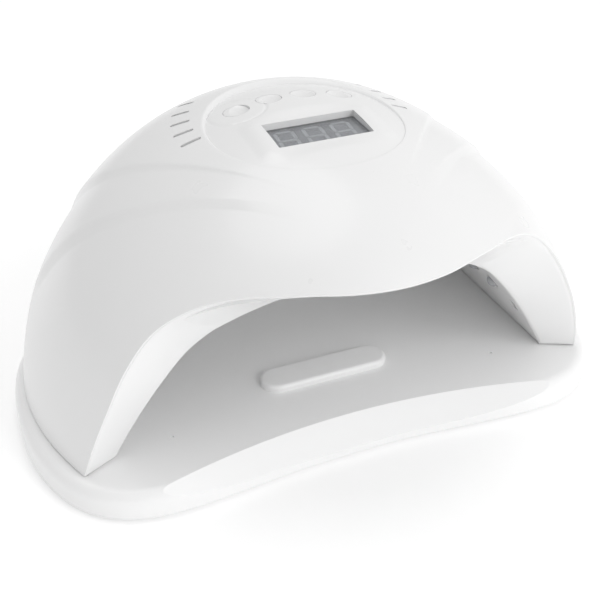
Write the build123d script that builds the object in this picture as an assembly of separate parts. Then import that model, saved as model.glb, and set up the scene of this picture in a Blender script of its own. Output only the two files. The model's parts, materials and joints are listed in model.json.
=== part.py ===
from build123d import *
from math import atan2, cos, hypot, pi, radians, sin
import os

os.makedirs("parts", exist_ok=True)

# UV/LED nail lamp on a removable magnetic tray. Millimetres, +Z up, the hand goes in from -Y,
# the origin is under the middle of the overall box, on the table.

# ---- driving dimensions -------------------------------------------------------------------------
# domed housing
HALF_WIDTH = 114.4
FRONT_REACH = 125.0
BACK_REACH = 96.0
CROWN = 116.6
AXIS_Y = -5.35
LEAN = 6.9
WALL = 3.4
FIT_GAP = 0.3
ROUNDNESS = 2.01
ROUNDNESS_GAIN = 0.34
PATCH = 44
LAST_RISE = 0.48 * pi

# tray
TRAY_TOP = 12.0
TRAY_BOTTOM = 1.2
TRAY_HALF_WIDTH = 118.2
TRAY_BACK = 92.6
TRAY_MID_Y = -5.0
TRAY_WALL = 2.6
TRAY_EDGE_ROUND = 4.0
FOOT_R = 7.0
FOOT_PLACES = [(-84, -46, 0), (84, -46, 0), (-78, 48, 0), (78, 48, 0)]
PLATE_THICK = 1.8
MAGNET_PLACES = [(-99.0, -34, 0), (99.0, -34, 0), (-98, 28, 0), (98, 28, 0)]
MAGNET_R = 4.0
MAGNET_THICK = 3.0
MAGNET_COVER = 1.4
RIDGE_LENGTH = 54.0
RIDGE_DEPTH = 13.6
RIDGE_HEIGHT = 2.8
RIDGE_Y = -29.2
# the slope in front of the tray falls from an arc of this radius about a far point
SLOPE_CENTRE_Y = -337.0
SLOPE_R = 279.0
SLOPE_RUN = 14.0
SLOPE_FALL = 0.8

# lamp body
BODY_BOTTOM = TRAY_TOP + FIT_GAP
FLANGE_TOP = BODY_BOTTOM + 2.2
LINER_WALL = 2.2
CAVITY_BACK = 61.0
CAVITY_INSET = 16.0
FACE_DEPTH = 5.0

# control panel
PANEL_Y = -9.7
PANEL_R = 36.0
PANEL_WALL = 3.8
WINDOW_TOP = 112.0
WINDOW_THICK = 1.2
DISPLAY_Y = -20.7
DISPLAY_X = 36.4
DISPLAY_DEPTH = 17.6
BUTTON_R = 4.9
BUTTON_GAP = 0.15
BUTTON_PLACES = [(-20.9, 6.5), (-7.0, 9.0), (7.0, 9.0), (20.9, 6.5)]
BOARD_TOP = 103.4
BOARD_THICK = 1.6
BOARD_Y = -8.5
BOARD_X = 64.0
BOARD_DEPTH = 58.0
MODULE_TOP = 110.2
DIGIT_HEIGHT = 12.4
DIGIT_WIDTH = 7.2
DIGIT_PITCH = 11.6
STROKE = 1.5
SEGMENT_THICK = 0.3
SLANT = 8.0
SWITCH_BODY = 2.8
PLUNGER_R = 1.75
PLUNGER_TOP = 107.1
CAP_FLANGE_TOP = 107.9

# LED driver
DRIVER_LOW = 84.0
DRIVER_THICK = 1.6
DRIVER_TOP = DRIVER_LOW + DRIVER_THICK
DRIVER_Y = 13.0

# lamps
STRIP_COUNT = 9
LEDS_PER_STRIP = 5
LED_PITCH = 15.0
STRIP_WIDTH = 12.0
STRIP_LENGTH = 72.0
STRIP_LIFT = 3.0
STRIP_THICK = 1.6
STRIP_SCREW_X = 22.5
LED_HOLE_R = 3.4
LENS_R = 2.9

# hand sensor: place along the ceiling curve, and in Y
IR_SHARES = (0.115, 0.885)
IR_Y = -41.0

# inlet
INLET_Z = 30.0
INLET_FACE_Y = 87.0
INLET_BACK_Y = 72.5
INLET_FRONT_Y = 84.8
INLET_PIN_R = 1.0
INLET_ROOT_R = 0.7
INLET_ROOT_Y = 74.6
INLET_FLOOR_Y = 77.6
INLET_PIN_LENGTH = 9.0
INLET_BARREL_R = 3.1
INLET_NOSE_R = 4.6

# Front edge of the housing seen from the front, as half width and height, from the tray up.
FRONT_EDGE = [(105.2, 5), (100.0, 25), (94.4, 40.2), (86.6, 56.2), (76.3, 70.1), (64.0, 79.6),
              (50.0, 85.4), (33.0, 88.1), (16.0, 88.5)]
FRONT_EDGE_TOP = 88.5

# Mouth of the hand space: outer end of each rib of the face, then its inner end.
FACE_OUTER = [(105.5, -51.6, 5), (102.9, -54.1, 15.5), (97.6, -58.2, 31.2), (90.5, -58.9, 48.9),
              (81.6, -58.8, 64), (70, -62.5, 75.6), (58, -68.6, 82.5), (44, -77.1, 86.8),
              (24.7, -87.6, 88.4), (0, -93.2, 88.5)]
FACE_INNER = [(94.5, -47.6, 5), (88.5, -47.6, 16), (80.5, -48.3, 29), (71, -49.5, 42.6),
              (61, -50.9, 54.5), (50, -55.1, 64.5), (40, -57.6, 70), (29, -59.6, 74),
              (16, -61.1, 76.3), (0, -61.6, 77)]
ARCH = [(94.5, 5), (80.5, 29), (61, 54.5), (40, 70), (20, 75.7)]
ARCH_TOP = 77.0

# Front rim of the tray seen from above, from the widest point forwards to near the middle.
TRAY_FRONT = [(117.4, -29), (113.6, -44), (106.5, -58), (97, -66.8), (84, -71.6), (68, -72.4),
              (45, -70.6), (22, -68.5)]
TRAY_FRONT_MID = -68.0


# ---- shared shapes ------------------------------------------------------------------------------
def blend(t):
    """0 below 0, 1 above 1, smooth between."""
    t = min(max(t, 0.0), 1.0)
    return t * t * (3 - 2 * t)


def reach(direction, inset):
    """Distance from the dome's axis to its skin at table height."""
    back = (1 + sin(direction)) / 2
    depth = FRONT_REACH + (BACK_REACH - FRONT_REACH) * back - inset
    return 1 / hypot(cos(direction) / (HALF_WIDTH - inset), sin(direction) / depth)


def ridge_step(x, y, z):
    """How far the flank is pressed in at a point: two terraces under the upper and lower ridges."""
    upper = 0.748 * abs(x) - 0.577 * (y - 9.35) - 0.327 * z - 14.84
    lower = 0.666 * abs(x) - 0.732 * (y - 9.35) - 0.143 * z - 50.05
    ends = blend((abs(x) - 16) / 34) * blend((z - 36) / 22)
    press = 0.0
    if upper > 0 and lower < 0:
        share = upper / (upper - lower)
        press = 1.4 * (1 - share) * min(share / 0.16, 1.0)
    elif lower > 0:
        press = 1.6 * min(lower / 3.2, 1.0) * max(1 - lower / 24, 0.0)
    return press * ends


def dome_point(direction, rise, inset, ridges):
    """Point on the dome; rise runs from 0 at the crown to a quarter turn at table height."""
    m = ROUNDNESS + ROUNDNESS_GAIN * sin(direction) ** 2
    scale = (sin(rise) ** m + abs(cos(rise)) ** m) ** (-1 / m)
    out = reach(direction, inset) * sin(rise) * scale
    z = (CROWN - inset) * cos(rise) * scale
    x = out * cos(direction)
    y = out * sin(direction) + AXIS_Y + LEAN * (z / CROWN) ** 2
    press = ridge_step(x, y, z) if ridges else 0.0
    flat = hypot(x, y - AXIS_Y) or 1.0
    return Vector(x * (1 - press / flat), y - press * (y - AXIS_Y) / flat, z)


def dome_height(x, y):
    """Height of the smooth dome above a point of the plan."""
    z = CROWN
    for _ in range(8):
        off = y - AXIS_Y - LEAN * (z / CROWN) ** 2
        direction = atan2(off, x)
        m = ROUNDNESS + ROUNDNESS_GAIN * sin(direction) ** 2
        share = min(hypot(x, off) / reach(direction, 0), 0.999)
        z = CROWN * (1 - share ** m) ** (1 / m)
    return z


def skin_through(rows):
    """Smooth surface through rows of points."""
    lines = [Wire([Edge.make_spline(row)]) for row in rows]
    return Shell.make_loft(lines).faces()[0]


def dome(inset, low, lines=28, ridges=False):
    """Solid inside the dome, with a flat underside at the height low."""
    half = lines / 2
    rows = []
    for i in range(lines + 1):
        across = i / half - 1
        row = []
        for j in range(lines + 1):
            along = j / half - 1
            rise = max(hypot(across, along), 1e-6) * LAST_RISE
            row.append(dome_point(atan2(along, across), rise, inset, ridges))
        rows.append(row)
    keep = Pos(0, 0, low) * block(400, 400, 200)
    skin = (skin_through(rows) & keep).faces()[0]
    rim = [edge for edge in skin.edges() if abs(edge.center().Z - low) < 0.2]
    return Solid(Shell([skin, Face(Wire(rim))]))


def panel_depth(y):
    t = min(max((y - (PANEL_Y - PANEL_R)) / (2 * PANEL_R), 0.0), 1.2)
    return 0.3 + 2.0 * t ** 2.2


def above_panel(drop, span=46, steps=24):
    """Everything above the panel floor, lowered by drop."""
    rows = []
    for i in range(steps + 1):
        x = -span + 2 * span * i / steps
        row = []
        for j in range(steps + 1):
            y = PANEL_Y - span + 2 * span * j / steps
            row.append(Vector(x, y, dome_height(x, y) - panel_depth(y) - drop))
        rows.append(row)
    return extrude(skin_through(rows), amount=30, dir=(0, 0, 1))


def mirrored(points, top):
    """Left half, the point on the middle line, then the right half."""
    left = [(-p[0],) + tuple(p[1:]) for p in points]
    return left + [top] + list(reversed(points))


def front_prism(points, top, y0, y1, grow=0.0):
    """Area under an arch seen from the front, drawn out from y0 to y1."""
    curve = [Vector(x, 0, z) for x, z in mirrored(points, (0, top))]
    edge = Spline(*curve)
    if grow:
        lifted = []
        count = 40
        for i in range(count + 1):
            here = edge @ (i / count)
            along = edge % (i / count)
            lifted.append(here + Vector(-along.Z, 0, along.X) * grow)
        edge = Spline(*lifted)
    start = edge @ 0
    end = edge @ 1
    low = -20
    outline = Wire([edge, Line(end, (end.X, 0, low)), Line((end.X, 0, low), (start.X, 0, low)),
                    Line((start.X, 0, low), start)])
    prism = extrude(Face(outline), amount=y1 - y0, dir=(0, 1, 0))
    return Pos(0, y0, 0) * prism


def arch_frame(share):
    """Plane on the hand space's ceiling; its x is +Y and its z looks out of the hand space."""
    edge = Spline(*[Vector(x, 0, z) for x, z in mirrored(ARCH, (0, ARCH_TOP))])
    here = edge @ share
    along = edge % share
    return Plane(origin=here, x_dir=(0, 1, 0), z_dir=(-along.Z, 0, along.X))


def strip_share(index):
    """Place of a strip along the ceiling curve, 0 to 1."""
    return 0.145 + 0.71 * index / (STRIP_COUNT - 1)


def upright(radius, height):
    """Cylinder standing on its lower face."""
    return Cylinder(radius, height, align=(Align.CENTER, Align.CENTER, Align.MIN))


def block(x, y, height):
    """Box standing on its lower face."""
    return Box(x, y, height, align=(Align.CENTER, Align.CENTER, Align.MIN))


def write(name, *solids):
    shapes = []
    for item in solids:
        shapes.extend(item.solids())
    export_step(Compound(children=shapes) if len(shapes) > 1 else shapes[0], f"parts/{name}.step")


def ring_of(places, shape):
    return [Pos(x, y, z) * shape for x, y, z in places]


# ---- tray ---------------------------------------------------------------------------------------
def tray_outline(inset=0.0):
    """Rim of the tray: half an ellipse behind, a free curve in front."""
    behind = []
    for step in range(13):
        turn = radians(15 * step)
        y = TRAY_MID_Y + (TRAY_BACK - TRAY_MID_Y) * sin(turn)
        behind.append((TRAY_HALF_WIDTH * cos(turn), y))
    left = [(-x, y) for x, y in TRAY_FRONT]
    loop = [(0, TRAY_FRONT_MID)] + TRAY_FRONT[::-1] + behind + left
    rim = Spline(*loop, periodic=True)
    if inset:
        count = 72
        pulled = []
        for i in range(count):
            along = rim % (i / count)
            pulled.append(rim @ (i / count) + Vector(-along.Y, along.X, 0) * inset)
        rim = Spline(*pulled, periodic=True)
    return Face(Wire([rim]))


def front_slope(drop):
    """What is taken off the tray in front: a slope whose top line is an arc."""
    top = TRAY_TOP - drop
    near = SLOPE_R - SLOPE_RUN
    section = Polyline((SLOPE_R, top), (near, top - SLOPE_RUN * SLOPE_FALL), (near, TRAY_TOP + 5),
                       (SLOPE_R, TRAY_TOP + 5), close=True)
    ring = revolve(Plane.XZ * make_face(section), Axis.Z)
    return Pos(0, SLOPE_CENTRE_Y, 0) * ring


def tray():
    height = TRAY_TOP - TRAY_BOTTOM
    body = Pos(0, 0, TRAY_BOTTOM) * extrude(tray_outline(), height)
    top_edges = body.edges().group_by(Axis.Z)[-1]
    body = fillet(top_edges, TRAY_EDGE_ROUND)
    body -= front_slope(0)
    hollow = Pos(0, 0, TRAY_BOTTOM) * extrude(tray_outline(TRAY_EDGE_ROUND + 0.6), height - TRAY_WALL)
    hollow -= front_slope(TRAY_WALL * 1.3)
    seat = Pos(0, 0, TRAY_BOTTOM - 1) * extrude(tray_outline(2.4), PLATE_THICK + 1)
    rib_height = height - TRAY_WALL - PLATE_THICK
    rib_low = TRAY_BOTTOM + PLATE_THICK
    ribs = []
    for x in (-66, -33, 0, 33, 66):
        ribs.append(Pos(x, 10, rib_low) * block(1.6, 190, rib_height))
    for y in (-30, 0, 30, 60):
        ribs.append(Pos(0, y, rib_low) * block(230, 1.6, rib_height))
    cups = [Pos(x, y, rib_low) * upright(MAGNET_R + 2, rib_height)
            for x, y, _ in MAGNET_PLACES]
    for solid in ribs + cups:
        hollow -= solid
    body -= hollow
    body -= seat
    pocket = upright(MAGNET_R + 0.1, TRAY_TOP - MAGNET_COVER - rib_low + 0.01)
    for x, y, _ in MAGNET_PLACES:
        body -= Pos(x, y, rib_low - 0.01) * pocket
    ridge = extrude(SlotOverall(RIDGE_LENGTH, RIDGE_DEPTH), amount=RIDGE_HEIGHT)
    ridge = fillet(ridge.edges().group_by(Axis.Z)[-1], 1.6)
    body += Pos(0, RIDGE_Y, TRAY_TOP) * ridge
    for x in (-68.3, 68.3):
        body -= Pos(x, -45, TRAY_TOP) * Cylinder(0.7, 1.2)
    return body


def tray_plate():
    plate = Pos(0, 0, TRAY_BOTTOM) * extrude(tray_outline(2.55), PLATE_THICK - 0.1)
    for x, y, _ in FOOT_PLACES:
        plate -= Pos(x, y, TRAY_BOTTOM) * Cylinder(FOOT_R + 0.1, 1.2)
    return plate


def feet():
    pad = upright(FOOT_R, TRAY_BOTTOM + 0.55)
    pad = chamfer(pad.edges().group_by(Axis.Z)[0], 0.5)
    return ring_of(FOOT_PLACES, pad)


def tray_magnets():
    disc = Cylinder(MAGNET_R, MAGNET_THICK, align=(Align.CENTER, Align.CENTER, Align.MAX))
    return [Pos(x, y, TRAY_TOP - MAGNET_COVER) * disc for x, y, _ in MAGNET_PLACES]


# ---- housing ------------------------------------------------------------------------------------
def vent_slots():
    """Five slots on each side of the panel, all aimed at its middle."""
    cutters = []
    centres = [(10, 42.6), (21, 45.0), (31.5, 47.6), (42, 50.6), (53, 54.0)]
    for angle, radius in centres:
        for side in (-1, 1):
            turn = 180 - angle if side < 0 else angle
            slot = extrude(SlotOverall(7.6, 1.7), amount=30)
            x = side * radius * cos(radians(angle))
            y = PANEL_Y - 1 + radius * sin(radians(angle))
            cutters.append(Pos(x, y, 90) * Rot(0, 0, turn) * slot)
    return cutters


def panel_cutter():
    wide = (Align.CENTER, Align.CENTER, Align.MIN)
    flare = Pos(0, PANEL_Y, 102) * Cone(PANEL_R - 7.5, PANEL_R + 12.5, 20, align=wide)
    return above_panel(0) & flare


BOSS_PLACES = []
for boss_angle, boss_inset in ((2, 13.5), (40, 9.0), (74, 9.0)):
    for boss_side in (1, -1):
        boss_dir = radians(boss_angle)
        boss_reach = reach(boss_dir, boss_inset)
        BOSS_PLACES.append((boss_side * boss_reach * cos(boss_dir), AXIS_Y + boss_reach * sin(boss_dir), 0))
BOARD_PLACES = [(-28.5, -33.5, 0), (28.5, -33.5, 0), (-28.5, 16.5, 0), (28.5, 16.5, 0)]
DRIVER_PLACES = [(-34, -2, 0), (34, -2, 0), (-34, 26, 0), (34, 26, 0)]


def housing():
    outer = dome(0, BODY_BOTTOM, PATCH, ridges=True)
    pad = above_panel(PANEL_WALL) & Pos(0, PANEL_Y, 90) * upright(PANEL_R + 3, 40)
    kept = [pad]
    kept += [Pos(x, y, FLANGE_TOP + 0.2) * upright(3.4, 80) for x, y, _ in BOSS_PLACES]
    kept += [Pos(x, y, BOARD_TOP) * upright(2.6, 20) for x, y, _ in BOARD_PLACES]
    inner = dome(WALL, BODY_BOTTOM - 1) - kept
    cuts = [inner, front_prism(FRONT_EDGE, FRONT_EDGE_TOP, -220, 0), panel_cutter()]
    cuts += vent_slots()
    cuts += [Pos(x, y, FLANGE_TOP) * upright(1.25, 12) for x, y, _ in BOSS_PLACES]
    cuts += [Pos(x, y, BOARD_TOP - 0.1) * upright(0.95, 6) for x, y, _ in BOARD_PLACES]
    cuts.append(Pos(0, DISPLAY_Y, WINDOW_TOP - 4) * block(DISPLAY_X, DISPLAY_DEPTH, 20))
    cuts.append(Pos(0, DISPLAY_Y, WINDOW_TOP - 7.95) * block(DISPLAY_X + 4.4, DISPLAY_DEPTH + 4.4, 8))
    cuts += [Pos(x, y, 105) * upright(BUTTON_R + BUTTON_GAP, 20) for x, y in BUTTON_PLACES]
    cuts.append(start_ring())
    cuts.append(Pos(0, INLET_FACE_Y, INLET_Z) * Rot(-90, 0, 0) * upright(6.6, 20))
    cuts.append(Pos(0, INLET_FACE_Y - 15, INLET_Z) * Rot(-90, 0, 0) * upright(INLET_NOSE_R + 0.2, 20))
    return outer - cuts


def start_ring():
    """Groove around the first button."""
    x, y = BUTTON_PLACES[0]
    groove = Pos(x, y, 105) * (upright(11.6, 20) - upright(10.7, 20))
    return groove & above_panel(0.35)


# ---- inner shell ---------------------------------------------------------------------------------
def face_strip():
    """Ruled face round the mouth, carried a little past both of its edges."""
    over = 0.3
    outer = []
    inner = []
    pairs = zip(mirrored(FACE_OUTER[:-1], FACE_OUTER[-1]), mirrored(FACE_INNER[:-1], FACE_INNER[-1]))
    for out, into in pairs:
        step = (Vector(*out) - Vector(*into)) * over
        outer.append(Vector(*out) + step)
        inner.append(Vector(*into) - step)
    return Face.make_surface_from_curves(Edge.make_spline(outer), Edge.make_spline(inner))


def hand_space(grow, behind):
    """Arch-shaped room for the hand, rounded off behind."""
    straight = front_prism(ARCH, ARCH_TOP, -160, 8, grow)
    rear = front_prism(ARCH, ARCH_TOP, 5, behind, grow) & dome(CAVITY_INSET - grow, 9)
    return straight + rear


def on_strip(index, *places):
    """Places given in a strip's own frame, moved to that strip."""
    frame = arch_frame(strip_share(index)).location
    return [frame * place for place in places]


def led_offsets():
    return [LED_PITCH * (i - (LEDS_PER_STRIP - 1) / 2) for i in range(LEDS_PER_STRIP)]


def inner_shell():
    strip = face_strip()
    deep = extrude(strip, amount=220, dir=(0, 1, 0))
    rim = extrude(strip, amount=FACE_DEPTH, dir=(0, 1, 0))
    room = hand_space(0, CAVITY_BACK)
    jacket = hand_space(LINER_WALL, CAVITY_BACK + LINER_WALL)
    flange = Pos(0, 0, BODY_BOTTOM) * block(300, 300, FLANGE_TOP - BODY_BOTTOM)
    rear = Pos(0, 0, -10) * Box(300, 220, 160, align=(Align.CENTER, Align.MIN, Align.MIN))
    low_parts = [Pos(x, y, BODY_BOTTOM) * upright(MAGNET_R + 1.8, 4.6) for x, y, _ in MAGNET_PLACES]
    body = (jacket + [flange] + low_parts) & (deep + rear)
    bosses = []
    for index in range(STRIP_COUNT):
        for side in (-1, 1):
            bosses += on_strip(index, Pos(side * STRIP_SCREW_X, 0, 1.0) * upright(2.4, STRIP_LIFT - 1.0))
    bosses += [Pos(x, y, 72) * upright(2.8, DRIVER_LOW - 72) for x, y, _ in DRIVER_PLACES]
    body = (body + rim + bosses) & dome(WALL + FIT_GAP, BODY_BOTTOM)
    cuts = [room]
    for index in range(STRIP_COUNT):
        cuts += on_strip(index, *[Pos(x, 0, -4) * upright(LED_HOLE_R, 9) for x in led_offsets()])
        for side in (-1, 1):
            cuts += on_strip(index, Pos(side * STRIP_SCREW_X, 0, 1.2) * upright(0.95, 6))
    cuts += [Pos(x, y, DRIVER_LOW - 5) * upright(0.95, 6) for x, y, _ in DRIVER_PLACES]
    pocket = upright(MAGNET_R + 0.1, MAGNET_THICK + 0.8)
    cuts += [Pos(x, y, BODY_BOTTOM - 1) * pocket for x, y, _ in MAGNET_PLACES]
    cuts += [Pos(x, y, BODY_BOTTOM - 1) * upright(3.0, 2.2) for x, y, _ in BOSS_PLACES]
    cuts += [Pos(x, y, BODY_BOTTOM - 1) * upright(1.6, 6) for x, y, _ in BOSS_PLACES]
    for share in IR_SHARES:
        cuts.append(arch_frame(share).location * Pos(IR_Y, 0, 0) * Box(2.8, 6.0, 12))
    return body - cuts


def body_magnets():
    return [Pos(x, y, TRAY_TOP) * upright(MAGNET_R, MAGNET_THICK) for x, y, _ in MAGNET_PLACES]


def case_screws():
    head = upright(2.7, 1.1)
    shaft = Pos(0, 0, 1.1) * upright(1.2, 8)
    return [Pos(x, y, BODY_BOTTOM + 0.1) * (head + shaft) for x, y, _ in BOSS_PLACES]


# ---- panel parts ---------------------------------------------------------------------------------
def display_window():
    plate = Box(DISPLAY_X + 4, DISPLAY_DEPTH + 4, WINDOW_THICK, align=(Align.CENTER, Align.CENTER, Align.MAX))
    return Pos(0, DISPLAY_Y, WINDOW_TOP) * plate


def display_module():
    height = MODULE_TOP - BOARD_TOP
    return Pos(0, DISPLAY_Y, BOARD_TOP) * block(38, 18.6, height)


def bar(length):
    """One stroke of a digit, pointed at both ends."""
    half = length / 2
    nib = STROKE / 2
    shape = Polyline((-half, 0), (-half + nib, nib), (half - nib, nib), (half, 0), (half - nib, -nib),
                     (-half + nib, -nib), close=True)
    return extrude(make_face(shape), amount=SEGMENT_THICK)


def display_segments():
    """Three unlit seven-stroke digits, leaning to the right."""
    gap = 0.25
    across = DIGIT_WIDTH - STROKE
    down = (DIGIT_HEIGHT - STROKE) / 2
    strokes = []
    for digit in range(3):
        middle = (digit - 1) * DIGIT_PITCH
        for level in (-down, 0, down):
            lean = level * sin(radians(SLANT))
            strokes.append(Pos(middle + lean, DISPLAY_Y + level, MODULE_TOP) * bar(across - gap))
        for side in (-1, 1):
            for level in (-down / 2, down / 2):
                lean = level * sin(radians(SLANT))
                stroke = Rot(0, 0, 90 - SLANT) * bar(down - gap)
                strokes.append(Pos(middle + side * across / 2 + lean, DISPLAY_Y + level, MODULE_TOP) * stroke)
    return strokes


def control_board():
    board = Pos(0, BOARD_Y, BOARD_TOP - BOARD_THICK) * block(BOARD_X, BOARD_DEPTH, BOARD_THICK)
    holes = [Pos(x, y, BOARD_TOP) * Cylinder(1.1, 6) for x, y, _ in BOARD_PLACES]
    return board - holes


def board_screws():
    head = Cylinder(1.9, 1.3, align=(Align.CENTER, Align.CENTER, Align.MAX))
    shaft = upright(0.9, 6.0)
    return [Pos(x, y, BOARD_TOP - BOARD_THICK) * (head + shaft) for x, y, _ in BOARD_PLACES]


def tact_switches():
    body = block(6, 6, SWITCH_BODY)
    body -= Pos(0, 0, SWITCH_BODY - 2.2) * upright(PLUNGER_R + 0.05, 4)
    return [Pos(x, y, BOARD_TOP) * body for x, y in BUTTON_PLACES]


def switch_plunger(index):
    x, y = BUTTON_PLACES[index]
    low = BOARD_TOP + SWITCH_BODY - 1.4
    return Pos(x, y, low) * upright(PLUNGER_R, PLUNGER_TOP - low)


def button_cap(index, panel):
    """Round cap, flush with the panel, with a finger dimple and a retaining flange below."""
    x, y = BUTTON_PLACES[index]
    cap = Pos(x, y, PLUNGER_TOP) * upright(BUTTON_R, 12)
    cap -= panel
    cap += Pos(x, y, PLUNGER_TOP) * upright(BUTTON_R + 1.2, CAP_FLANGE_TOP - PLUNGER_TOP)
    top = dome_height(x, y) - panel_depth(y)
    dimple_r = 13.0
    return cap - Pos(x, y, top + dimple_r - 0.95) * Sphere(dimple_r)


def control_chip():
    thick = 1.6
    return Pos(12, -2, BOARD_TOP - BOARD_THICK - thick) * block(9, 9, thick)


def socket(width):
    """Open-topped plug socket on a board."""
    shell = block(width, 5.4, 6)
    return shell - Pos(0, 0, 1.2) * block(width - 1.6, 3.8, 6)


def control_sockets():
    upside_down = Rot(180, 0, 0) * socket(10)
    low = BOARD_TOP - BOARD_THICK
    return [Pos(x, y, low) * upside_down for x, y in ((-14, 12), (-20, -26), (20, -26))]


# ---- LED driver ----------------------------------------------------------------------------------
def driver_board():
    board = Pos(0, DRIVER_Y, DRIVER_LOW) * block(76, 42, DRIVER_THICK)
    holes = [Pos(x, y, DRIVER_LOW) * Cylinder(1.1, 6) for x, y, _ in DRIVER_PLACES]
    return board - holes


def driver_screws():
    head = Pos(0, 0, DRIVER_THICK) * upright(1.9, 1.3)
    shaft = Pos(0, 0, DRIVER_THICK - 5.5) * upright(0.9, 5.6)
    return [Pos(x, y, DRIVER_LOW) * (head + shaft) for x, y, _ in DRIVER_PLACES]


def driver_inductors():
    spool = upright(6.5, 1.2) + Pos(0, 0, 1.2) * upright(5.0, 5.6) + Pos(0, 0, 6.8) * upright(6.5, 1.2)
    return [Pos(x, 21.4, DRIVER_TOP) * spool for x in (-21, 0, 21)]


def driver_capacitors():
    can = upright(4.0, 7.0)
    can = fillet(can.edges().group_by(Axis.Z)[-1], 0.6)
    return [Pos(x, 6, DRIVER_TOP) * can for x in (-24, -14)]


def driver_heatsink():
    base = block(26, 10, 2)
    fins = [Pos(-12 + 4 * i, 0, 2) * block(1.2, 10, 8) for i in range(7)]
    return Pos(14, 6, DRIVER_TOP + 2.4) * (base + fins)


def driver_transistors():
    pack = block(6.5, 9, 2.4)
    return [Pos(x, 6, DRIVER_TOP) * pack for x in (6, 14, 22)]


def driver_sockets():
    return [Pos(0, 31.2, DRIVER_TOP) * socket(9), Pos(-4, -4.5, DRIVER_TOP) * socket(9),
            Pos(14, -4.5, DRIVER_TOP) * socket(12)]


# ---- lamps ---------------------------------------------------------------------------------------
def led_strip(index):
    board = Pos(0, 0, STRIP_LIFT) * block(STRIP_LENGTH, STRIP_WIDTH, STRIP_THICK)
    for side in (-1, 1):
        board -= Pos(side * STRIP_SCREW_X, 0, STRIP_LIFT) * Cylinder(1.1, 8)
    return on_strip(index, board)[0]


def led_beads(index):
    bead = upright(LENS_R, STRIP_LIFT - 0.9) + Sphere(LENS_R)
    bead = bead & Pos(0, 0, -LENS_R) * upright(LENS_R + 1, LENS_R + STRIP_LIFT - 0.9)
    return on_strip(index, *[Pos(x, 0, 0.9) * bead for x in led_offsets()])


def strip_screws():
    head = Pos(0, 0, STRIP_LIFT + STRIP_THICK) * upright(1.8, 1.1)
    shaft = Pos(0, 0, 1.4) * upright(0.9, STRIP_LIFT + STRIP_THICK - 1.3)
    screw = head + shaft
    placed = []
    for index in range(STRIP_COUNT):
        placed += on_strip(index, Pos(-STRIP_SCREW_X, 0, 0) * screw, Pos(STRIP_SCREW_X, 0, 0) * screw)
    return placed


def ir_windows():
    return [arch_frame(share).location * Pos(IR_Y, 0, 0.9) * Box(2.7, 5.9, 1.0) for share in IR_SHARES]


def ir_sensor(share):
    """Small board with the sensing head behind one window."""
    head = Pos(IR_Y, 0, 1.6) * upright(1.3, 2.4)
    board = Pos(IR_Y, 0, 4.0) * block(5.6, 11, 1.2)
    return arch_frame(share).location * (head + board)


# ---- power inlet ---------------------------------------------------------------------------------
def dc_inlet():
    along = Rot(-90, 0, 0)
    block = Pos(0, (INLET_BACK_Y + INLET_FRONT_Y) / 2, INLET_Z) * Box(11, INLET_FRONT_Y - INLET_BACK_Y, 12)
    nose = Pos(0, INLET_FRONT_Y, INLET_Z) * along * upright(INLET_NOSE_R, INLET_FACE_Y + 0.6 - INLET_FRONT_Y)
    barrel = Pos(0, INLET_FLOOR_Y, INLET_Z) * along * upright(INLET_BARREL_R, 20)
    socket_hole = Pos(0, INLET_ROOT_Y, INLET_Z) * along * upright(INLET_ROOT_R, 4)
    return block + nose - barrel - socket_hole


def dc_inlet_pin():
    root = upright(INLET_ROOT_R, INLET_FLOOR_Y - INLET_ROOT_Y)
    pin = Pos(0, 0, INLET_FLOOR_Y - INLET_ROOT_Y) * upright(INLET_PIN_R, INLET_PIN_LENGTH)
    return Pos(0, INLET_ROOT_Y, INLET_Z) * Rot(-90, 0, 0) * (root + pin)


# ---- wires ---------------------------------------------------------------------------------------
def wire(radius, *points):
    path = Spline(*[Vector(*p) for p in points])
    start = Plane(origin=path @ 0, z_dir=path % 0)
    return sweep(start * Circle(radius), path=path)


def inlet_leads():
    leads = []
    for side in (-1, 1):
        x = 2.5 * side
        leads.append(wire(0.8, (x, 71.6, 31), (x, 67.6, 37), (x, 67.4, 50), (x, 66.2, 64), (x, 58, 82),
                          (x, 45, 92), (x * 0.7, 33.5, 95.5), (x * 0.6, 31.2, 92), (x * 0.6, 31.2, 87.2)))
    return leads


def control_leads():
    leads = []
    for step in range(4):
        x = -6.2 + 1.5 * step
        leads.append(wire(0.5, (x, -4.5, 87.2), (x, -4.0, 92), (x - 4, 3, 94), (x - 8.5, 11.5, 94.2),
                          (x - 9.7, 12, 97), (x - 9.7, 12, 100.2)))
    return leads


def strip_links():
    """Pairs of short wires from each strip to the next, behind the strips."""
    links = []
    for index in range(STRIP_COUNT - 1):
        here = arch_frame(strip_share(index)).location
        there = arch_frame(strip_share(index + 1)).location
        between = arch_frame((strip_share(index) + strip_share(index + 1)) / 2).location
        for step in (0, 1):
            x = 31 + 2.0 * step
            start = (here * Pos(x, -3.0, 5.3)).position
            middle = (between * Pos(x + 1.5, 0, 6.0)).position
            end = (there * Pos(x, 3.0, 5.3)).position
            links.append(wire(0.55, start, middle, end))
    return links


def strip_feed():
    leads = []
    for step in range(2):
        x = 10.5 + 2.2 * step
        leads.append(wire(0.7, (x - 10, -31, 82.5), (x - 9, -24, 86), (x - 2, -12, 92), (x, -5, 92),
                          (x, -4.5, 87.3)))
    return leads


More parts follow.
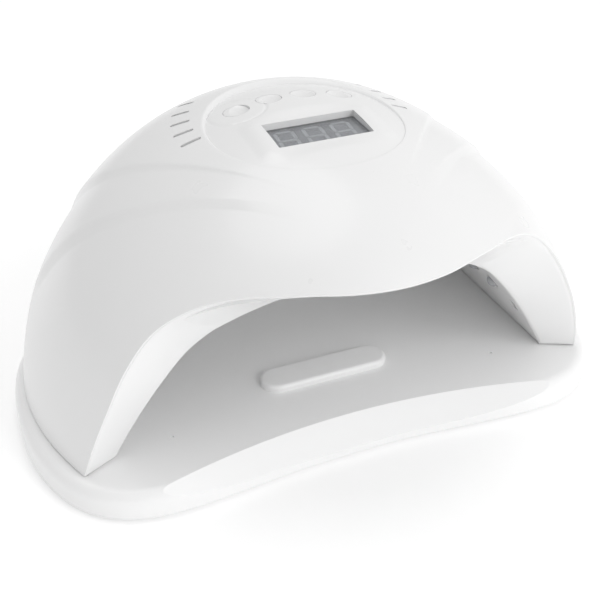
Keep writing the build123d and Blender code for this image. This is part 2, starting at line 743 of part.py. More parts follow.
def ir_leads():
    """Wires from the two sensing boards up to the control board."""
    leads = []
    for share, side in ((IR_SHARES[0], -1), (IR_SHARES[1], 1)):
        for step in (0, 1):
            y = IR_Y - 1.5 + 3 * step
            points = [(arch_frame(share).location * Pos(y, 0, 5.9)).position]
            for climb, lift in ((0.04, 9), (0.11, 12), (0.19, 13), (0.27, 15)):
                along = share + climb if side < 0 else share - climb
                points.append((arch_frame(along).location * Pos(y + 2, 0, lift)).position)
            points.append(Vector(side * (18.5 + 3 * step), -26, 97.5))
            points.append(Vector(side * (18.5 + 3 * step), -26, 100.2))
            leads.append(wire(0.5, *points))
    return leads


# ---- main ---------------------------------------------------------------------------------------
if __name__ == "__main__":
    write("base_tray", tray())
    write("tray_plate", tray_plate())
    write("rubber_feet", *feet())
    write("tray_magnets", *tray_magnets())
    write("upper_shell", housing())
    write("inner_shell", inner_shell())
    write("body_magnets", *body_magnets())
    write("case_screws", *case_screws())
    write("display_window", display_window())
    write("display_module", display_module())
    write("display_segments", *display_segments())
    write("control_board", control_board())
    write("board_screws", *board_screws())
    write("tact_switches", *tact_switches())
    write("control_chip", control_chip())
    write("control_sockets", *control_sockets())
    panel = above_panel(0)
    for number in range(4):
        write(f"button_cap_{number + 1}", button_cap(number, panel))
        write(f"switch_plunger_{number + 1}", switch_plunger(number))
    write("driver_board", driver_board())
    write("driver_screws", *driver_screws())
    write("driver_inductors", *driver_inductors())
    write("driver_capacitors", *driver_capacitors())
    write("driver_heatsink", driver_heatsink())
    write("driver_transistors", *driver_transistors())
    write("driver_sockets", *driver_sockets())
    for number in range(STRIP_COUNT):
        write(f"led_strip_{number + 1}", led_strip(number))
        write(f"led_beads_{number + 1}", *led_beads(number))
    write("strip_screws", *strip_screws())
    write("ir_windows", *ir_windows())
    write("ir_emitter", ir_sensor(IR_SHARES[0]))
    write("ir_receiver", ir_sensor(IR_SHARES[1]))
    write("dc_inlet", dc_inlet())
    write("dc_inlet_pin", dc_inlet_pin())
    write("inlet_leads", *inlet_leads())
    write("control_leads", *control_leads())
    write("strip_links", *strip_links())
    write("strip_feed", *strip_feed())
    write("ir_leads", *ir_leads())
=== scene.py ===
import json
from math import atan2, cos, hypot, pi, radians, sin

import bmesh
import bpy
from mathutils import Matrix, Vector


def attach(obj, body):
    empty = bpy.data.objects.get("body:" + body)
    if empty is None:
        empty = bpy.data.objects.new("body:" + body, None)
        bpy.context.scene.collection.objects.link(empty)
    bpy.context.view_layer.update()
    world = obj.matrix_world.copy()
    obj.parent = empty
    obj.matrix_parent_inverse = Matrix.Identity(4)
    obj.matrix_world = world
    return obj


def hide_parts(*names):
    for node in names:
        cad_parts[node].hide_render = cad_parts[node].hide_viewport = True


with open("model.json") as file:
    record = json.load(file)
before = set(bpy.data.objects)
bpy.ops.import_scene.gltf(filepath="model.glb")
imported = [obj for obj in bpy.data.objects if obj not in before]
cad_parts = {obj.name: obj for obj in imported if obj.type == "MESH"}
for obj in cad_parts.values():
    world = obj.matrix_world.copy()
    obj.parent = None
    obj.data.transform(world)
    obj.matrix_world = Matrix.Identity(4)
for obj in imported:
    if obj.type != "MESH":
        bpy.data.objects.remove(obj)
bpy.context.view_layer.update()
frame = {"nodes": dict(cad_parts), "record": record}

MM = 0.001
LAMP = "lamp_body"

# ---- sizes of the domed housing, in millimetres, the same as the CAD's --------------------------
HALF_WIDTH, FRONT_REACH, BACK_REACH, CROWN = 114.4, 125.0, 96.0, 116.6
AXIS_Y, LEAN = -5.35, 6.9
ROUNDNESS, ROUNDNESS_GAIN = 2.01, 0.34
BODY_BOTTOM = 12.3
SKIN = 3.4
FRONT_EDGE = [(105.2, 5), (100.0, 25), (94.4, 40.2), (86.6, 56.2), (76.3, 70.1), (64.0, 79.6),
              (50.0, 85.4), (33.0, 88.1), (16.0, 88.5), (0, 88.5)]
PANEL_Y, PANEL_R = -9.7, 36.0
PANEL_DEPTH_FRONT, PANEL_DEPTH_GAIN = 0.3, 2.0
FLARE_LOW, FLARE_R = 102.0, 28.5
DISPLAY_Y, DISPLAY_X, DISPLAY_DEPTH = -20.7, 36.4, 17.6
BUTTON_R, BUTTON_GAP = 4.9, 0.15
BUTTON_PLACES = [(-20.9, 6.5), (-7.0, 9.0), (7.0, 9.0), (20.9, 6.5)]
RING_R = 11.1
RING_HALF_WIDTH, RING_DEPTH = 0.9, 0.28
# angle from the X axis in degrees, and distance from the middle of the fan of slots
VENT_PLACES = [(10, 42.6), (21, 45.0), (31.5, 47.6), (42, 50.6), (53, 54.0)]
VENT_Y = PANEL_Y - 1
VENT_LENGTH, VENT_WIDTH, VENT_END_R = 7.6, 1.7, 0.84

# planes through the two ridges of a flank, as factors of |x|, y - RIDGE_Y and z, and an offset
RIDGE_Y = 9.35
UPPER_RIDGE = (0.748, -0.577, -0.327, -14.84)
LOWER_RIDGE = (0.666, -0.732, -0.143, -50.05)
UPPER_PRESS, LOWER_PRESS = 2.0, 2.1

# ---- fineness of the skin's mesh ----------------------------------------------------------------
SECTORS = 720
RINGS = 130
LIP_R = 0.55
LIP_STEPS = 4
RIM_ROUND = 0.35
REBATE_HEIGHT, REBATE_DEPTH = 3.6, 1.0


# ---- the dome -----------------------------------------------------------------------------------
def smooth(t):
    """0 below 0, 1 above 1, smooth between."""
    t = min(max(t, 0.0), 1.0)
    return t * t * (3 - 2 * t)


def reach(direction, inset):
    """Distance from the dome's axis to its skin at table height."""
    back = (1 + sin(direction)) / 2
    depth = FRONT_REACH + (BACK_REACH - FRONT_REACH) * back - inset
    return 1 / hypot(cos(direction) / (HALF_WIDTH - inset), sin(direction) / depth)


def past_ridge(plane, x, y, z):
    """Distance of a point outside the plane through a ridge."""
    across, along, up, offset = plane
    return across * abs(x) + along * (y - RIDGE_Y) + up * z + offset


def ridge_press(x, y, z):
    """How far the flank lies inside the smooth dome, below each of its two ridges."""
    upper = past_ridge(UPPER_RIDGE, x, y, z)
    lower = past_ridge(LOWER_RIDGE, x, y, z)
    ends = smooth((abs(x) - 16) / 34) * smooth((z - 36) / 22)
    press = 0.0
    if upper > 0 and lower < 0:
        share = upper / (upper - lower)
        press = UPPER_PRESS * (1 - share) * min(share / 0.2, 1.0)
    elif lower > 0:
        press = LOWER_PRESS * min(lower / 5.0, 1.0) * max(1 - lower / 28, 0.0)
    # both fade out before the two ridges would meet
    return press * ends * smooth((upper - lower) / 12)


def dome_point(a, b, inset=0.0, ridges=True):
    """Point of the dome; a and b are the angle down from the crown, taken along X and Y."""
    rise = max(hypot(a, b), 1e-6)
    direction = atan2(b, a)
    m = ROUNDNESS + ROUNDNESS_GAIN * sin(direction) ** 2
    scale = (sin(rise) ** m + abs(cos(rise)) ** m) ** (-1 / m)
    out = reach(direction, inset) * sin(rise) * scale
    z = (CROWN - inset) * cos(rise) * scale
    x = out * cos(direction)
    y = out * sin(direction) + AXIS_Y + LEAN * (z / CROWN) ** 2
    press = ridge_press(x, y, z) if ridges else 0.0
    flat = hypot(x, y - AXIS_Y) or 1.0
    return Vector((x * (1 - press / flat), y - press * (y - AXIS_Y) / flat, z))


def dome_height(x, y):
    """Height of the smooth dome above a point of the plan."""
    z = CROWN
    for _ in range(8):
        off = y - AXIS_Y - LEAN * (z / CROWN) ** 2
        direction = atan2(off, x)
        m = ROUNDNESS + ROUNDNESS_GAIN * sin(direction) ** 2
        share = min(hypot(x, off) / reach(direction, 0), 0.999)
        z = CROWN * (1 - share ** m) ** (1 / m)
    return z


def panel_depth(y):
    """How far the panel's floor lies below the dome: deeper towards the back."""
    t = min(max((y - (PANEL_Y - PANEL_R)) / (2 * PANEL_R), 0.0), 1.2)
    return PANEL_DEPTH_FRONT + PANEL_DEPTH_GAIN * t ** 2.2


def spline_through(points, per_span=24):
    """Points along a smooth curve through the given ones, and its mirror image."""
    whole = [Vector((-x, z)) for x, z in points[:-1]] + [Vector(p) for p in reversed(points)]
    knots = [0.0]
    for here, there in zip(whole, whole[1:]):
        knots.append(knots[-1] + (there - here).length)
    count = len(whole)
    slopes = []
    for i in range(count):
        lo, hi = max(i - 1, 0), min(i + 1, count - 1)
        slopes.append((whole[hi] - whole[lo]) / (knots[hi] - knots[lo]))
    curve = []
    for i in range(count - 1):
        span = knots[i + 1] - knots[i]
        for j in range(per_span):
            t = j / per_span
            curve.append((2 * t**3 - 3 * t**2 + 1) * whole[i] + (t**3 - 2 * t**2 + t) * span * slopes[i]
                         + (3 * t**2 - 2 * t**3) * whole[i + 1] + (t**3 - t**2) * span * slopes[i + 1])
    curve.append(whole[-1])
    return curve


FRONT_CURVE = spline_through(FRONT_EDGE)
FRONT_RIGHT = [p for p in FRONT_CURVE if p.x >= -1e-6]


def arch_height(x):
    """Height of the housing's front edge at a distance from the middle."""
    x = abs(x)
    for here, there in zip(FRONT_RIGHT, FRONT_RIGHT[1:]):
        if here.x <= x <= there.x:
            t = (x - here.x) / ((there.x - here.x) or 1)
            return here.y + t * (there.y - here.y)
    return -50.0


def beyond(point):
    """True past the housing's lower edge, in front or all round."""
    if point.z < BODY_BOTTOM:
        return True
    return point.y < 0 and point.z < arch_height(point.x)


def crossing(start, step, low, high, test):
    """Where along a ray of the (a, b) plane test turns true."""
    for _ in range(26):
        mid = (low + high) / 2
        if test(start[0] + step[0] * mid, start[1] + step[1] * mid):
            high = mid
        else:
            low = mid
    return (low + high) / 2


def mesh_piece(name, verts, faces):
    """Mesh object from points in millimetres."""
    mesh = bpy.data.meshes.new(name)
    mesh.from_pydata([v * MM for v in verts], [], faces)
    obj = bpy.data.objects.new(name, mesh)
    bpy.context.scene.collection.objects.link(obj)
    mesh.validate()
    return obj


def shade(obj, angle=32):
    """Smooth shading, with creases kept where faces meet at more than the angle."""
    for poly in obj.data.polygons:
        poly.use_smooth = True
    bm = bmesh.new()
    bm.from_mesh(obj.data)
    for edge in bm.edges:
        edge.smooth = len(edge.link_faces) == 2 and edge.calc_face_angle(0) < radians(angle)
    bm.to_mesh(obj.data)
    bm.free()


def cut(obj, cutters):
    """Takes the joined cutters off a closed mesh."""
    tool = cutters[0]
    with bpy.context.temp_override(active_object=tool, selected_editable_objects=cutters,
                                   selected_objects=cutters):
        bpy.ops.object.join()
    change = obj.modifiers.new("cut", "BOOLEAN")
    change.operation = "DIFFERENCE"
    change.solver = "EXACT"
    change.object = tool
    graph = bpy.context.evaluated_depsgraph_get()
    made = bpy.data.meshes.new_from_object(obj.evaluated_get(graph))
    obj.modifiers.clear()
    obj.data = made
    bpy.data.objects.remove(tool)


def prism(outline, low, high, place=Matrix.Identity(4)):
    """Closed upright prism on a plan outline, for cutting."""
    count = len(outline)
    verts = [place @ Vector((x, y, z)) for z in (low, high) for x, y in outline]
    faces = [[i, (i + 1) % count, count + (i + 1) % count, count + i] for i in range(count)]
    faces.append(list(range(count))[::-1])
    faces.append(list(range(count, 2 * count)))
    return mesh_piece("cutter", verts, faces)


def circle(x, y, r, count=64):
    """Plan outline of a circle."""
    return [(x + r * cos(2 * pi * i / count), y + r * sin(2 * pi * i / count)) for i in range(count)]


def rounded(width, depth, r, count=8):
    """Plan outline of a rectangle with round corners, about the origin."""
    outline = []
    for corner, (sx, sy) in enumerate(((1, 1), (-1, 1), (-1, -1), (1, -1))):
        for i in range(count + 1):
            turn = pi / 2 * (corner + i / count)
            outline.append((sx * (width / 2 - r) + r * cos(turn), sy * (depth / 2 - r) + r * sin(turn)))
    return outline


# ---- housing skin -------------------------------------------------------------------------------
def ray_of(theta):
    """Start and step in the (a, b) plane of the ray that leaves the panel's middle at theta."""
    return (0.0, PANEL_START), (cos(theta), sin(theta))


def find_panel_start():
    """Angle b of the dome's point over the panel's middle."""
    low, high = -0.5, 0.0
    for _ in range(40):
        mid = (low + high) / 2
        if dome_point(0, mid).y > PANEL_Y:
            high = mid
        else:
            low = mid
    return low


PANEL_START = find_panel_start()


def rim_limit(a, b):
    """True outside the recess, whose wall flares upward."""
    point = dome_point(a, b)
    return hypot(point.x, point.y - PANEL_Y) > FLARE_R + point.z - FLARE_LOW


def sector_ends(theta):
    """Where a ray of the (a, b) plane meets the recess's rim, and the housing's lower edge."""
    start, step = ray_of(theta)
    rim = crossing(start, step, 0.05, 0.7, rim_limit)
    far = rim
    while not beyond(dome_point(start[0] + step[0] * far, start[1] + step[1] * far)):
        far += 0.02
    end = crossing(start, step, far - 0.02, far, lambda a, b: beyond(dome_point(a, b)))
    return rim, end


def foot_of_wall(theta):
    """Distance from the panel's middle to where its floor meets the sloping wall."""
    r = PANEL_R
    for _ in range(20):
        x, y = r * cos(theta), PANEL_Y + r * sin(theta)
        r = FLARE_R + dome_height(x, y) - panel_depth(y) - FLARE_LOW
    return r


def housing_sector(theta):
    """Outer and inner points of one sector, from the recess's rim down, and its plan angle."""
    start, step = ray_of(theta)
    rim, end = sector_ends(theta)

    def row(rings, inset, ridges):
        reached = [rim + (end - rim) * k / rings for k in range(rings + 1)]
        return [dome_point(start[0] + step[0] * t, start[1] + step[1] * t, inset, ridges) for t in reached]

    outer = row(RINGS, 0.0, True)
    inner = row(RINGS // 4, SKIN, False)
    return outer, inner, atan2(outer[0].y - PANEL_Y, outer[0].x)


def housing_column(outer, inner, turn):
    """Closed section of the skin: recess wall, outside, lower lip, rebate and inside."""
    along = (outer[-1] - outer[-2]).normalized()
    inward = (inner[-1] - outer[-1]).normalized()
    edge, rim = outer[-1], outer[0]
    foot = foot_of_wall(turn)
    foot_x, foot_y = foot * cos(turn), PANEL_Y + foot * sin(turn)
    foot_point = Vector((foot_x, foot_y, dome_height(foot_x, foot_y) - panel_depth(foot_y)))
    down = (foot_point - rim).normalized()
    away = (outer[1] - rim).normalized()
    over = min(RIM_ROUND, (foot_point - rim).length * 0.3)
    column = [foot_point + Vector((0, 0, -2.5)), foot_point, rim + down * over]
    for share in (0.75, 0.5, 0.25):
        p = rim + down * over * share + away * over * (1 - share)
        column.append(p.lerp(rim, 0.35 * (1 - abs(share - 0.5) * 2)))
    first = rim + away * over
    column.append(first)
    # every column has the same number of points, so dropped ones are made up for at the rim
    kept = [p for p in outer[1:-1] if (p - rim).length > over * 1.5]
    missing = RINGS - 1 - len(kept)
    column += [first.lerp(kept[0], (i + 1) / (missing + 1)) for i in range(missing)]
    column += kept
    for i in range(1, LIP_STEPS + 1):
        turned = pi / 2 * i / LIP_STEPS
        column.append(edge - along * LIP_R * (1 - sin(turned)) + inward * LIP_R * (1 - cos(turned)))
    # the wall is rebated behind the lip, for the face round the mouth
    column.append(edge + inward * 0.9)
    column.append(edge - along * REBATE_HEIGHT + inward * REBATE_DEPTH)
    column.append(edge - along * REBATE_HEIGHT + inward * SKIN)
    return column + inner[::-1][1:]


def build_housing():
    """Closed skin of the domed housing, from the panel's rim to the lower edge, with its slots."""
    columns = [housing_column(*housing_sector(2 * pi * i / SECTORS)) for i in range(SECTORS)]
    per = len(columns[0])
    verts = [p for column in columns for p in column]
    faces = []
    for i in range(SECTORS):
        j = (i + 1) % SECTORS
        for k in range(per):
            n = (k + 1) % per
            faces.append([i * per + k, i * per + n, j * per + n, j * per + k])
    skin = mesh_piece("housing_skin", verts, faces)
    cutters = []
    for angle, radius in VENT_PLACES:
        for side in (-1, 1):
            turn = radians(180 - angle if side < 0 else angle)
            x, y = side * radius * cos(radians(angle)), VENT_Y + radius * sin(radians(angle))
            place = Matrix.Translation((x, y, 0)) @ Matrix.Rotation(turn, 4, "Z")
            cutters.append(prism(rounded(VENT_LENGTH, VENT_WIDTH, VENT_END_R), 90, 125, place))
    face_outward(skin)
    cut(skin, cutters)
    shade(skin, 32)
    return skin


def face_outward(obj):
    """Turns every face of a closed mesh outward."""
    bm = bmesh.new()
    bm.from_mesh(obj.data)
    bmesh.ops.recalc_face_normals(bm, faces=bm.faces)
    bm.to_mesh(obj.data)
    bm.free()


# ---- face round the mouth -----------------------------------------------------------------------
FACE_OUTER = [(105.5, -51.6, 5), (102.9, -54.1, 15.5), (97.6, -58.2, 31.2), (90.5, -58.9, 48.9),
              (81.6, -58.8, 64), (70, -62.5, 75.6), (58, -68.6, 82.5), (44, -77.1, 86.8),
              (24.7, -87.6, 88.4), (0, -93.2, 88.5)]
FACE_INNER = [(94.5, -47.6, 5), (88.5, -47.6, 16), (80.5, -48.3, 29), (71, -49.5, 42.6),
              (61, -50.9, 54.5), (50, -55.1, 64.5), (40, -57.6, 70), (29, -59.6, 74),
              (16, -61.1, 76.3), (0, -61.6, 77)]
FACE_PROUD = 0.8
FACE_RIBS, FACE_ACROSS = 240, 14


def curve_at(points, u):
    """Catmull-Rom curve through a half arch and its mirror image; u counts points from the left foot."""
    whole = [Vector((-x, y, z)) for x, y, z in points[:-1]] + [Vector(p) for p in reversed(points)]
    i = min(int(u), len(whole) - 2)
    t = u - i
    p0, p1, p2 = whole[max(i - 1, 0)], whole[i], whole[i + 1]
    p3 = whole[min(i + 2, len(whole) - 1)]
    return 0.5 * (2 * p1 + (p2 - p0) * t + (2 * p0 - 5 * p1 + 4 * p2 - p3) * t**2
                  + (3 * p1 - p0 - 3 * p2 + p3) * t**3)


def rib_of(point):
    """Which rib of the face a point of its outer edge belongs to, counted as in curve_at."""
    low, high = 0.0, 2.0 * (len(FACE_OUTER) - 1)
    aim = atan2(point.z - 5, -point.x)
    for _ in range(30):
        mid = (low + high) / 2
        here = curve_at(FACE_OUTER, mid)
        if atan2(here.z - 5, -here.x) < aim:
            low = mid
        else:
            high = mid
    return (low + high) / 2


def inside_dome(x, y, z):
    """True inside the smooth dome."""
    off = y - AXIS_Y - LEAN * (z / CROWN) ** 2
    direction = atan2(off, x)
    m = ROUNDNESS + ROUNDNESS_GAIN * sin(direction) ** 2
    return (hypot(x, off) / reach(direction, 0)) ** m + (z / CROWN) ** m < 1


def on_dome_at(x, z):
    """Point of the ridged skin, in front, seen at (x, z) from the front."""
    z = min(z, CROWN - 1)
    low, high = -130.0, -20.0
    for _ in range(40):
        y = (low + high) / 2
        if inside_dome(x, y, z):
            high = y
        else:
            low = y
    point = Vector((x, (low + high) / 2, z))
    press = ridge_press(*point)
    flat = hypot(point.x, point.y - AXIS_Y) or 1.0
    return Vector((x * (1 - press / flat), point.y - press * (point.y - AXIS_Y) / flat, z))


def build_mouth_face():
    """Closed band between the housing's front edge and the opening."""
    proud = Vector((0, -FACE_PROUD, 0))
    ribs = []
    for i in range(FACE_RIBS + 1):
        # points of the housing's edge, evenly spaced along the front curve
        spot = FRONT_CURVE[round(i * (len(FRONT_CURVE) - 1) / FACE_RIBS)]
        if spot.y < BODY_BOTTOM:
            continue
        edge = on_dome_at(spot.x, spot.y)
        into = curve_at(FACE_INNER, rib_of(edge))
        ribs.append((edge, into))
    verts = []
    for edge, into in ribs:
        run = (into - edge).normalized()
        start = edge + run * 0.85 + proud * 0.15
        end = into + proud
        column = [start + Vector((0, 4.0, 0)), start + Vector((0, 0.35, 0)),
                  start + run * 0.12 + Vector((0, 0.1, 0))]
        for k in range(FACE_ACROSS + 1):
            column.append((start + run * 0.4).lerp(end - run * 0.6, k / FACE_ACROSS))
        column += [end - run * 0.25 + Vector((0, 0.12, 0)), end + run * 0.02 + Vector((0, 0.5, 0)),
                   end + run * 0.1 + Vector((0, 3.2, 0)), end - run * 1.5 + Vector((0, 3.4, 0))]
        verts += column
    per = len(column)
    faces = []
    for i in range(len(ribs) - 1):
        for k in range(per):
            n = (k + 1) % per
            faces.append([i * per + k, (i + 1) * per + k, (i + 1) * per + n, i * per + n])
    faces.append(list(range(per)))
    faces.append([(len(ribs) - 1) * per + k for k in range(per)][::-1])
    face = mesh_piece("mouth_face", verts, faces)
    face_outward(face)
    shade(face, 40)
    return face


# ---- control panel ------------------------------------------------------------------------------
def floor_height(x, y):
    """Height of the panel's floor: it follows the dome, but is level across the display."""
    z = dome_height(x, y) - panel_depth(y)
    level = dome_height(DISPLAY_X / 2, y) - panel_depth(y) + 0.2
    near = smooth((27 - abs(x)) / 8.5) * smooth((17 - abs(y - DISPLAY_Y)) / 8)
    z += (level - z) * near
    off = abs(hypot(x - BUTTON_PLACES[0][0], y - BUTTON_PLACES[0][1]) - RING_R)
    return z - RING_DEPTH * smooth(1 - off / RING_HALF_WIDTH)


def floor_point(x, y, drop=0.0):
    """Point of the panel's floor, or of its underside at a drop."""
    return Vector((x, y, floor_height(x, y) - drop))


def build_panel_floor():
    """Sunken floor of the control panel with its window, button holes and ring."""
    sectors, rings, thick = 240, 96, 3.0
    feet = [foot_of_wall(2 * pi * i / sectors) + 0.02 for i in range(sectors)]
    verts = [floor_point(0, PANEL_Y), floor_point(0, PANEL_Y, thick)]
    for side in (0.0, thick):
        for k in range(1, rings + 1):
            for i in range(sectors):
                turn = 2 * pi * i / sectors
                r = feet[i] * k / rings
                verts.append(floor_point(r * cos(turn), PANEL_Y + r * sin(turn), side))
    top, low = 2, 2 + rings * sectors
    faces = []
    for i in range(sectors):
        j = (i + 1) % sectors
        faces.append([0, top + i, top + j])
        faces.append([1, low + j, low + i])
        for k in range(rings - 1):
            a, b = k * sectors, (k + 1) * sectors
            faces.append([top + a + i, top + b + i, top + b + j, top + a + j])
            faces.append([low + a + j, low + b + j, low + b + i, low + a + i])
        last = (rings - 1) * sectors
        faces.append([top + last + i, low + last + i, low + last + j, top + last + j])
    floor = mesh_piece("panel_floor", verts, faces)
    window = rounded(DISPLAY_X, DISPLAY_DEPTH, 0.5)
    cutters = [prism(window, 100, 125, Matrix.Translation((0, DISPLAY_Y, 0)))]
    for x, y in BUTTON_PLACES:
        cutters.append(prism(circle(x, y, BUTTON_R + BUTTON_GAP), 100, 125))
    face_outward(floor)
    cut(floor, cutters)
    shade(floor, 30)
    return floor


# ---- digits -------------------------------------------------------------------------------------
DIGIT_HALF, DIGIT_WIDTH, DIGIT_PITCH, DIGIT_LEAN = 7.2, 6.6, 10.9, 0.10
STROKE, STROKE_GAP = 1.35, 0.22
STROKE_LOW, STROKE_HIGH = 110.2, 110.5
# kind of stroke, and its place as shares of the half width and of the half height
STROKES = [("flat", 0, 1), ("flat", 0, 0), ("flat", 0, -1), ("tall", -1, 0.5), ("tall", -1, -0.5),
           ("tall", 1, 0.5), ("tall", 1, -0.5)]


def build_digits():
    """Three unlit seven-stroke digits with a slight lean, as raised strokes."""
    verts, faces = [], []
    nib = STROKE / 2
    for digit in (-1, 0, 1):
        for kind, across, along in STROKES:
            half = (DIGIT_WIDTH if kind == "flat" else DIGIT_HALF) / 2 - STROKE_GAP
            shape = [(-half, 0), (-half + nib, nib), (half - nib, nib), (half, 0), (half - nib, -nib),
                     (-half + nib, -nib)]
            if kind == "tall":
                shape = [(-q, r) for r, q in shape]
            base = len(verts)
            for z in (STROKE_LOW, STROKE_HIGH):
                for u, v in shape:
                    y = along * DIGIT_HALF + v
                    x = digit * DIGIT_PITCH - 0.6 + across * DIGIT_WIDTH / 2 + u + y * DIGIT_LEAN
                    verts.append(Vector((x, DISPLAY_Y - 0.7 + y, z)))
            faces += [[base + i, base + (i + 1) % 6, base + 6 + (i + 1) % 6, base + 6 + i]
                      for i in range(6)]
            faces += [[base + i for i in range(5, -1, -1)], [base + 6 + i for i in range(6)]]
    digits = mesh_piece("display_digits", verts, faces)
    face_outward(digits)
    return digits


# ---- materials ----------------------------------------------------------------------------------
def material(name, color, rough, metal=0.0, coat=0.0, grain=0.0, grain_scale=900.0, spread=0.03,
             rough_spread=0.06, ior=1.5, transmission=0.0, blotch=45.0):
    """Plastic, metal or glass with slight changes of tone and gloss, and a fine grain as bump."""
    mat = bpy.data.materials.new(name)
    mat.use_nodes = True
    nodes, links = mat.node_tree.nodes, mat.node_tree.links
    shader = nodes["Principled BSDF"]
    shader.inputs["Metallic"].default_value = metal
    shader.inputs["IOR"].default_value = ior
    shader.inputs["Coat Weight"].default_value = coat
    shader.inputs["Coat Roughness"].default_value = 0.12
    shader.inputs["Transmission Weight"].default_value = transmission
    place = nodes.new("ShaderNodeTexCoord")
    cloud = nodes.new("ShaderNodeTexNoise")
    cloud.inputs["Scale"].default_value = blotch
    cloud.inputs["Detail"].default_value = 4.0
    links.new(place.outputs["Object"], cloud.inputs["Vector"])
    tone = nodes.new("ShaderNodeMix")
    tone.data_type = "RGBA"
    dark = [c * (1 - spread) for c in color]
    tone.inputs["A"].default_value = (*dark, 1)
    tone.inputs["B"].default_value = (*[min(c * (1 + spread), 1) for c in color], 1)
    links.new(cloud.outputs["Fac"], tone.inputs["Factor"])
    links.new(tone.outputs["Result"], shader.inputs["Base Color"])
    gloss = nodes.new("ShaderNodeMapRange")
    gloss.inputs["To Min"].default_value = max(rough - rough_spread, 0.02)
    gloss.inputs["To Max"].default_value = rough + rough_spread
    links.new(cloud.outputs["Fac"], gloss.inputs["Value"])
    links.new(gloss.outputs["Result"], shader.inputs["Roughness"])
    if grain:
        fine = nodes.new("ShaderNodeTexNoise")
        fine.inputs["Scale"].default_value = grain_scale
        fine.inputs["Detail"].default_value = 2.0
        links.new(place.outputs["Object"], fine.inputs["Vector"])
        bump = nodes.new("ShaderNodeBump")
        bump.inputs["Strength"].default_value = grain
        bump.inputs["Distance"].default_value = 0.0001
        links.new(fine.outputs["Fac"], bump.inputs["Height"])
        links.new(bump.outputs["Normal"], shader.inputs["Normal"])
    return mat


LOOKS = {
    "housing_white": dict(color=(0.84, 0.84, 0.84), rough=0.30, coat=0.25, grain=0.05, spread=0.008),
    # painted light: the liner's white is a little lighter than the housing's, to brighten the cavity in
    # the visor's shade; the mouth face shares it
    "liner_white": dict(color=(0.87, 0.87, 0.87), rough=0.34, coat=0.12, grain=0.06, spread=0.008),
    "tray_white": dict(color=(0.92, 0.92, 0.92), rough=0.33, coat=0.15, grain=0.08, spread=0.008),
    "button_white": dict(color=(0.82, 0.82, 0.82), rough=0.28, coat=0.25, grain=0.05, spread=0.008),
    "rubber_grey": dict(color=(0.06, 0.06, 0.065), rough=0.75, grain=0.4, spread=0.15),
    "magnet_plate": dict(color=(0.72, 0.72, 0.74), rough=0.22, metal=1.0, grain=0.08),
    "screw_steel": dict(color=(0.56, 0.57, 0.60), rough=0.32, metal=1.0, grain=0.1),
    "window_clear": dict(color=(0.75, 0.77, 0.80), rough=0.05, transmission=0.9, spread=0.01,
                         rough_spread=0.02),
    "display_grey": dict(color=(0.33, 0.33, 0.335), rough=0.35, spread=0.04),
    "segment_pale": dict(color=(0.86, 0.86, 0.86), rough=0.40, spread=0.03),
    "board_green": dict(color=(0.02, 0.16, 0.07), rough=0.35, coat=0.3, grain=0.2, spread=0.1),
    "switch_black": dict(color=(0.02, 0.02, 0.02), rough=0.5, spread=0.2),
    "chip_black": dict(color=(0.015, 0.015, 0.017), rough=0.55, grain=0.3, spread=0.2),
    "socket_cream": dict(color=(0.68, 0.64, 0.52), rough=0.45, grain=0.1),
    "inductor_copper": dict(color=(0.62, 0.25, 0.10), rough=0.3, metal=0.8, grain=0.5),
    "capacitor_sleeve": dict(color=(0.02, 0.025, 0.04), rough=0.3, spread=0.1),
    "heatsink_aluminium": dict(color=(0.75, 0.76, 0.78), rough=0.35, metal=1.0, grain=0.2),
    "ir_dark": dict(color=(0.02, 0.012, 0.018), rough=0.12, coat=0.5, spread=0.1),
    "inlet_black": dict(color=(0.018, 0.018, 0.02), rough=0.45, grain=0.2, spread=0.2),
    "pin_nickel": dict(color=(0.74, 0.71, 0.65), rough=0.2, metal=1.0),
    "wire_red": dict(color=(0.45, 0.02, 0.02), rough=0.42, spread=0.1),
    "wire_grey": dict(color=(0.40, 0.40, 0.42), rough=0.42, spread=0.1),
    "strip_white": dict(color=(0.76, 0.76, 0.73), rough=0.4, grain=0.15, spread=0.02),
    "lens_clear": dict(color=(0.92, 0.93, 0.96), rough=0.06, transmission=0.6, spread=0.02,
                       rough_spread=0.02),
}
MATERIALS = {name: material(name, **look) for name, look in LOOKS.items()}


def paint(obj, slot):
    """Gives a piece one material."""
    obj.data.materials.clear()
    obj.data.materials.append(MATERIALS[slot])


slots = {part["node"]: part["material_slot"] for part in frame["record"]["subparts"]}
for node, obj in frame["nodes"].items():
    for spot in obj.material_slots:
        spot.material = MATERIALS[slots[node]]

# ---- build and place the pieces -----------------------------------------------------------------
skin = build_housing()
panel_floor = build_panel_floor()
mouth_face = build_mouth_face()
digits = build_digits()
for obj, look in ((skin, "housing_white"), (panel_floor, "housing_white"), (mouth_face, "liner_white"),
                  (digits, "segment_pale")):
    paint(obj, look)
    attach(obj, LAMP)
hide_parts("display_segments")
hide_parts("upper_shell")
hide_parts("upper_shell")


# ---- floor, light and camera --------------------------------------------------------------------
def stage_floor():
    """Pale floor under the lamp, bright enough to show as white."""
    mesh = bpy.data.meshes.new("studio_floor")
    size = 6.0
    corners = [(-size, -size, 0), (size, -size, 0), (size, size, 0), (-size, size, 0)]
    mesh.from_pydata(corners, [], [(0, 1, 2, 3)])
    obj = bpy.data.objects.new("studio_floor", mesh)
    bpy.context.scene.collection.objects.link(obj)
    pale = material("studio_floor", (0.92, 0.92, 0.92), 0.9, spread=0.003)
    shader = pale.node_tree.nodes["Principled BSDF"]
    shader.inputs["Emission Color"].default_value = (1, 1, 1, 1)
    shader.inputs["Emission Strength"].default_value = 0.2
    mesh.materials.append(pale)


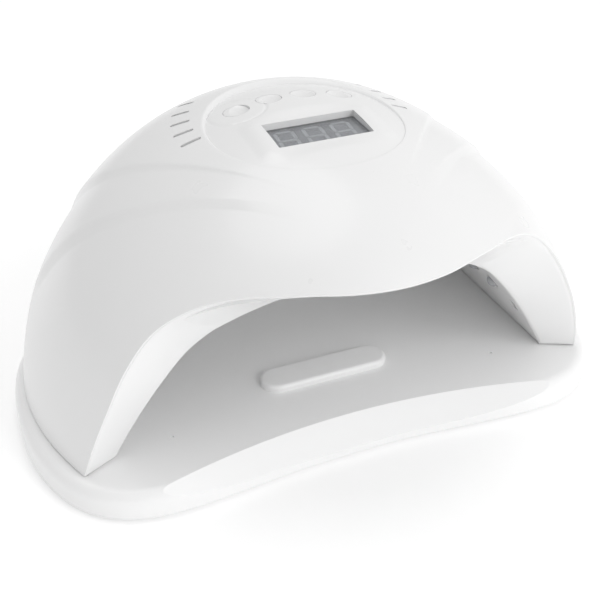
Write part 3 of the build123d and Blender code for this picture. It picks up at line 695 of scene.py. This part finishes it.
def area_light(name, place, aim, size, power):
    """Round soft light; places and size in metres, power in watts."""
    lamp = bpy.data.lights.new(name, "AREA")
    lamp.shape = "DISK"
    lamp.size = size
    lamp.energy = power
    obj = bpy.data.objects.new(name, lamp)
    obj.location = place
    obj.rotation_mode = "QUATERNION"
    obj.rotation_quaternion = (Vector(aim) - Vector(place)).to_track_quat("-Z", "Y")
    bpy.context.scene.collection.objects.link(obj)


def studio():
    """Soft surroundings, brighter on the right, and three lights."""
    world = bpy.data.worlds.new("studio")
    world.use_nodes = True
    nodes, links = world.node_tree.nodes, world.node_tree.links
    nodes["Background"].inputs["Color"].default_value = (1, 1, 1, 1)
    place = nodes.new("ShaderNodeTexCoord")
    split = nodes.new("ShaderNodeSeparateXYZ")
    side = nodes.new("ShaderNodeMapRange")
    side.inputs["From Min"].default_value, side.inputs["From Max"].default_value = -1.0, 1.0
    side.inputs["To Min"].default_value, side.inputs["To Max"].default_value = 0.50, 0.84
    links.new(place.outputs["Generated"], split.inputs["Vector"])
    links.new(split.outputs["X"], side.inputs["Value"])
    links.new(side.outputs["Result"], nodes["Background"].inputs["Strength"])
    bpy.context.scene.world = world
    bpy.context.scene.view_settings.view_transform = "Standard"
    area_light("key", (0.65, -0.9, 1.0), (0, 0, 0.04), 0.7, 3.0)
    area_light("front", (0.50, -1.45, 0.50), (0, 0, 0.04), 0.8, 3.4)
    area_light("overhead", (-0.1, 0.4, 1.5), (0, 0, 0.05), 1.2, 5.0)


def camera():
    """Camera in front, to the left and above."""
    data = bpy.data.cameras.new("camera")
    data.sensor_width = 36.0
    data.lens = 36.0 * 1053 / 600
    data.clip_start, data.clip_end = 0.01, 20
    obj = bpy.data.objects.new("camera", data)
    turn, lift = radians(-22.9), radians(33.0)
    back = Vector((sin(turn) * cos(lift), -cos(turn) * cos(lift), sin(lift)))
    obj.location = (-0.1412, -0.3390, 0.2668)
    obj.rotation_mode = "QUATERNION"
    obj.rotation_quaternion = (-back).to_track_quat("-Z", "Y")
    bpy.context.scene.collection.objects.link(obj)
    bpy.context.scene.camera = obj


stage_floor()
studio()
camera()
